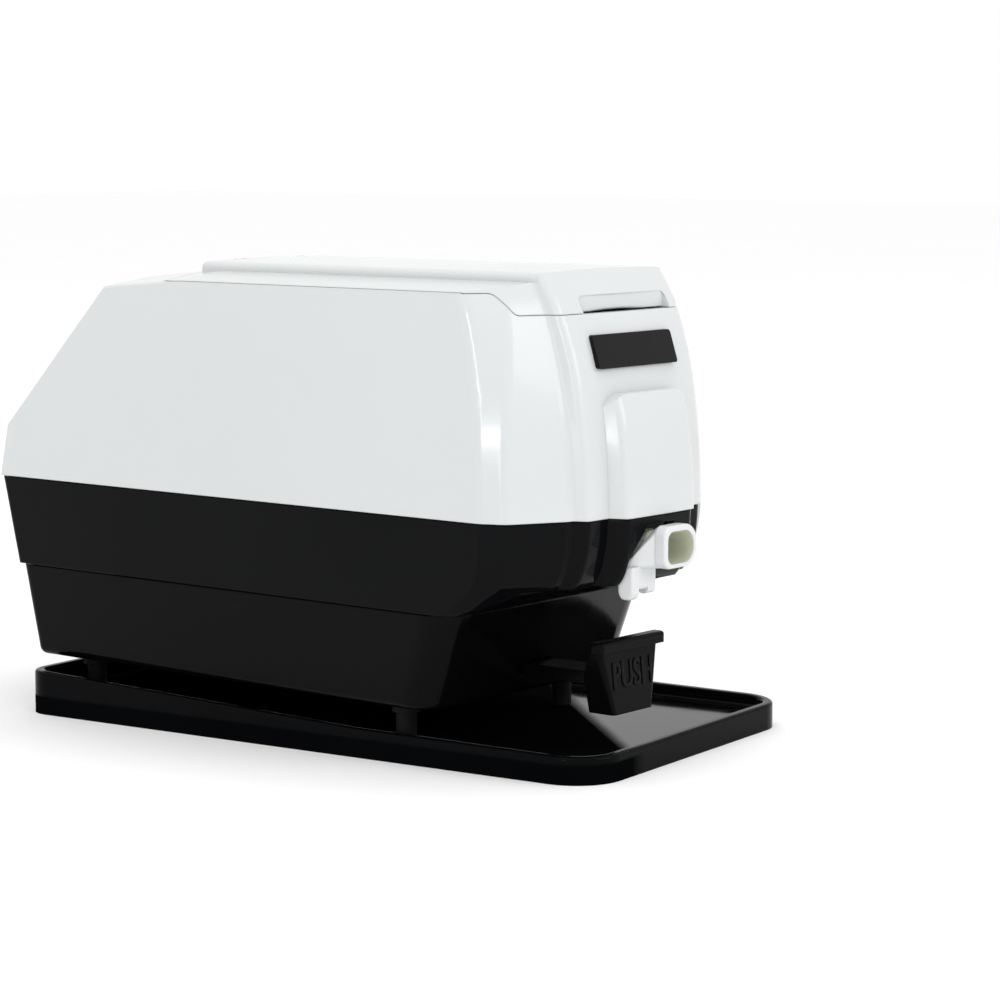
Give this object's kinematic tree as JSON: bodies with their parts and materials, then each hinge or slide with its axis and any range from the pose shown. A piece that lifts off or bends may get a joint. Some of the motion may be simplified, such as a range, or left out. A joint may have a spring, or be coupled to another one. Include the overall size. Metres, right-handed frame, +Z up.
{
  "type": "hot lather machine",
  "caption": "Electric hot lather dispenser: white cover with sloped rear and flip-up lid, gloss black body, white spout over a black push paddle, standing in a black drip tray.",
  "frame": {"origin": "Underside of the drip tray, in the middle plane of the machine; z = 0 is the counter. The machine faces -Y and the tray is turned 5.5 degrees about Z, as it stands loose around the feet.", "axes": "+Z up, -Y the way the spout faces, +X to the machine's left-hand neighbour side (right when seen from the front)."},
  "size_m": [0.1287, 0.2227, 0.1372],
  "materials": {
    "white_gloss": "gloss",
    "black_gloss": "gloss",
    "black_matte": "matte",
    "black_rubber": "matte",
    "grey_plastic": "satin",
    "natural_plastic": "satin",
    "steel": "satin",
    "laminated_steel": "satin",
    "zinc_screw": "polished",
    "brass": "satin",
    "aluminium": "satin",
    "coil_wrap": "satin",
    "silicone_hose": "satin",
    "mica_band": "satin"
  },
  "bodies": {
    "tray": {"drip_tray": "black_gloss", "tray_pads": "black_rubber"},
    "lid": {"lid": "white_gloss"},
    "paddle": {"push_paddle": "black_gloss", "paddle_arm": "black_matte", "arm_pin": "steel"},
    "gate": {"valve_gate": "steel"},
    "switch_button": {"microswitch_button": "natural_plastic"},
    "drive_train": {"rotor": "laminated_steel", "motor_shaft": "steel", "shaft_coupling": "brass", "cooling_fan": "grey_plastic", "agitator": "natural_plastic", "pump_drive_gear": "natural_plastic"},
    "idler": {"pump_idler_gear": "natural_plastic"},
    "rocker": {"power_rocker": "black_matte"},
    "housing": {"skirt_shell": "black_gloss", "bottom_tub": "black_gloss", "machine_feet": "black_rubber", "foot_screws": "zinc_screw", "tub_screws": "zinc_screw", "cover_screws": "zinc_screw", "chassis_screws": "zinc_screw", "chassis_plate": "steel", "top_cover": "white_gloss", "lid_hinge_pin": "steel", "label_plate": "black_gloss", "spout": "white_gloss", "spout_bracket": "white_gloss", "valve_body": "natural_plastic", "valve_spring": "steel", "arm_guide": "grey_plastic", "microswitch_body": "black_matte", "lather_chamber": "aluminium", "chamber_end_cap": "natural_plastic", "chamber_seal": "black_rubber", "heater_band": "mica_band", "thermostat": "steel", "thermal_fuse": "natural_plastic", "motor_stator": "laminated_steel", "motor_coil": "coil_wrap", "motor_brackets": "aluminium", "motor_bushes": "brass", "pump_body": "natural_plastic", "pump_cover": "natural_plastic", "reservoir": "natural_plastic", "reservoir_outlet": "grey_plastic", "reservoir_stays": "steel", "suction_tube": "silicone_hose", "delivery_tube": "silicone_hose", "terminal_block": "natural_plastic", "power_inlet": "black_matte", "rocker_bezel": "black_matte"}
  },
  "joints": [
    {"name": "machine_lift", "type": "slide", "parent": "tray", "child": "housing", "axis": [0, 0, 1], "range_m": [0, 0.06]},
    {"name": "lid_hinge", "type": "hinge", "parent": "housing", "child": "lid", "pos_m": [0, 0.0199, 0.136], "axis": [-1, 0, 0], "range_deg": [0, 95]},
    {"name": "paddle_push", "type": "slide", "parent": "housing", "child": "paddle", "axis": [0, 1, 0], "range_m": [0, 0.006], "stiffness_N_per_m": 400, "springref_m": -0.003},
    {"name": "gate_lift", "type": "slide", "parent": "housing", "child": "gate", "axis": [0, 0, 1], "range_m": [0, 0.005], "deforming": ["valve_spring"]},
    {"name": "switch_press", "type": "slide", "parent": "housing", "child": "switch_button", "axis": [0, 1, 0], "range_m": [0, 0.0012]},
    {"name": "drive_spin", "type": "hinge", "parent": "housing", "child": "drive_train", "pos_m": [0, -0.018, 0.0625], "axis": [0, 1, 0], "continuous": true},
    {"name": "idler_spin", "type": "hinge", "parent": "housing", "child": "idler", "pos_m": [0.0126, 0.0249, 0.0625], "axis": [0, 1, 0], "continuous": true},
    {"name": "rocker_press", "type": "hinge", "parent": "housing", "child": "rocker", "pos_m": [0.019, 0.08326, 0.05953], "axis": [1, 0, 0], "range_deg": [0, 20]}
  ],
  "couplings": [
    {"joint": "gate_lift", "follows": "paddle_push", "ratio": 0.8333},
    {"joint": "switch_press", "follows": "paddle_push", "ratio": 0.2},
    {"joint": "idler_spin", "follows": "drive_spin", "ratio": -1}
  ]
}
